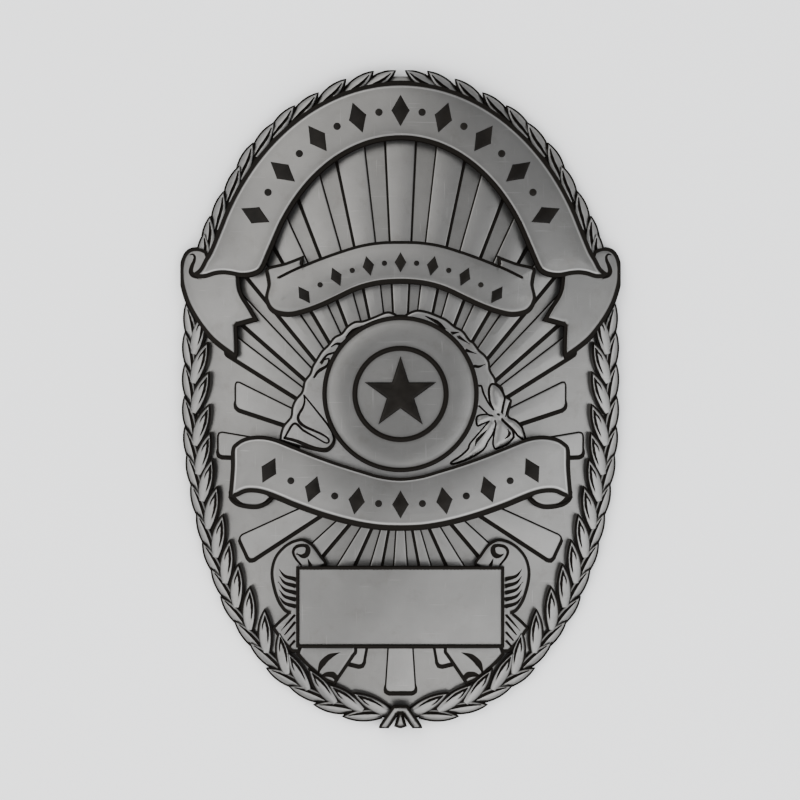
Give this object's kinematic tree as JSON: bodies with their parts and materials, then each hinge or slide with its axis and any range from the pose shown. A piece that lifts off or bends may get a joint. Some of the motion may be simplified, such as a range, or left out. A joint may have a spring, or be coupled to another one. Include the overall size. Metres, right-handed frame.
{
  "type": "police shield badge",
  "caption": "Domed oval police shield badge in satin nickel with a laurel border, sunburst, blank banners, star seal and blank panel, and a plain pin behind.",
  "frame": {"origin": "centre of the badge's box, on the plane that the rim rests on", "axes": "+Z out of the face, +Y towards the badge's top, +X to the right seen from the front"},
  "size_m": [0.0502, 0.075, 0.0092],
  "materials": {
    "satin_nickel": "satin nickel with black oxide left in the recesses",
    "black_enamel": "hard black enamel",
    "pin_steel": "drawn nickel-plated wire"
  },
  "bodies": {
    "root": {"shield_plate": "satin_nickel", "wreath_left": "satin_nickel", "wreath_right": "satin_nickel", "wreath_top_left": "satin_nickel", "wreath_top_right": "satin_nickel", "wreath_knot": "satin_nickel", "top_banner": "satin_nickel", "middle_ribbon": "satin_nickel", "lower_ribbon": "satin_nickel", "seal_disc": "satin_nickel", "star": "black_enamel", "sprig_left": "satin_nickel", "flower_right": "satin_nickel", "number_panel": "satin_nickel", "scroll_left": "satin_nickel", "scroll_right": "satin_nickel", "base_leaf_left": "satin_nickel", "base_leaf_right": "satin_nickel", "back_pin": "pin_steel"}
  },
  "joints": []
}
